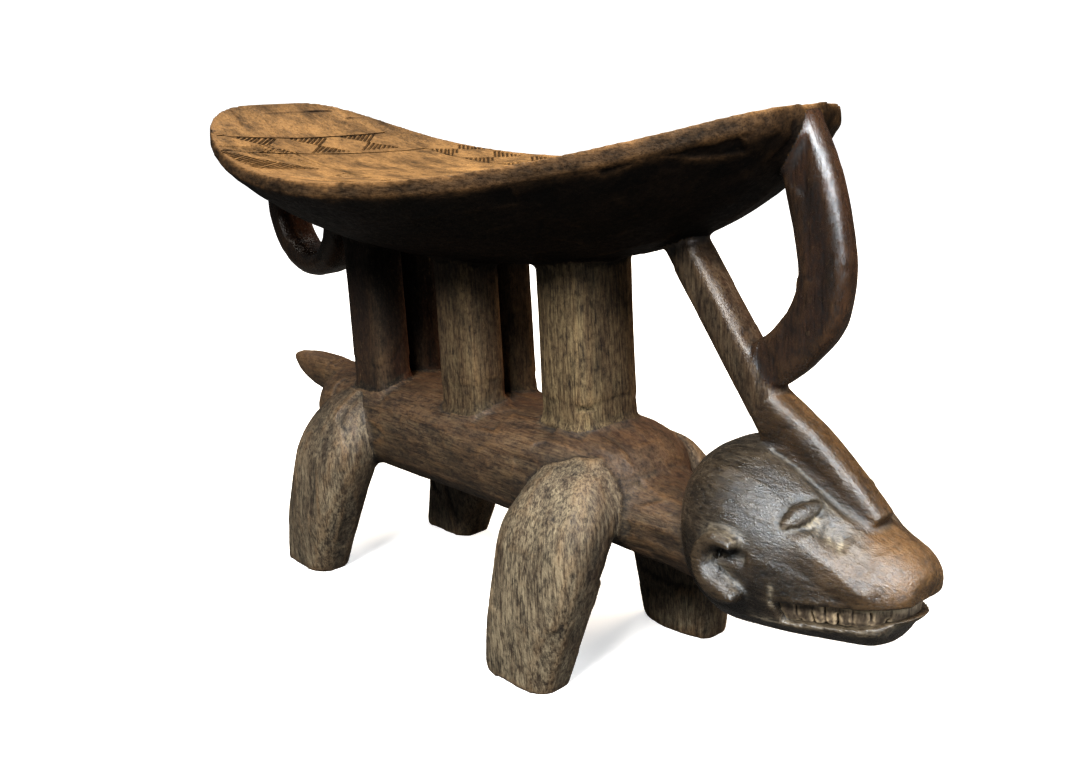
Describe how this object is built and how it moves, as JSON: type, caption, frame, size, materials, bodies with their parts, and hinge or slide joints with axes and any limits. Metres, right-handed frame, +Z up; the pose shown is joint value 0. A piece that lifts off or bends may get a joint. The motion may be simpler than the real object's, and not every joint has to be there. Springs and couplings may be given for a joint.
{
  "type": "headrest",
  "caption": "Carved wooden headrest shaped as a standing animal, with a saddle seat on posts, a looped front handle, a rear loop and a toothed muzzle.",
  "frame": {"origin": "centre of the bounding box on the ground plane, under the animal's feet", "axes": "+X towards the animal's head, +Z up, -Y is the side towards the viewer of the near legs"},
  "size_m": [0.3455, 0.131, 0.2009],
  "materials": {
    "seat_wood": "hand-cut, worn golden brown on top with dark incised lines, blackened hull",
    "post_wood": "dry dusty brown with vertical grain and ochre wear",
    "body_wood": "dark brown patina, dusty vertical grain, knife facets",
    "head_wood": "near-black handled patina with a cool sheen and pale scratches",
    "tooth_wood": "bare pale wood, dirt in the gaps",
    "handle_wood": "near-black patina polished by handling, worn brown on the arrises"
  },
  "bodies": {
    "root": {"seat_panel": "seat_wood", "post_near_rear": "post_wood", "post_near_middle": "post_wood", "post_far_rear": "post_wood", "post_far_middle": "post_wood", "post_front": "post_wood", "trunk": "body_wood", "leg_near_rear": "body_wood", "leg_near_front": "body_wood", "leg_far_rear": "body_wood", "leg_far_front": "body_wood", "tail": "body_wood", "neck": "body_wood", "head": "head_wood", "jaw": "head_wood", "teeth": "tooth_wood", "ear_near": "head_wood", "ear_far": "head_wood", "eye_near": "head_wood", "eye_far": "head_wood", "nose_ridge": "handle_wood", "strut": "handle_wood", "front_handle": "handle_wood", "rear_handle": "handle_wood"}
  },
  "joints": []
}
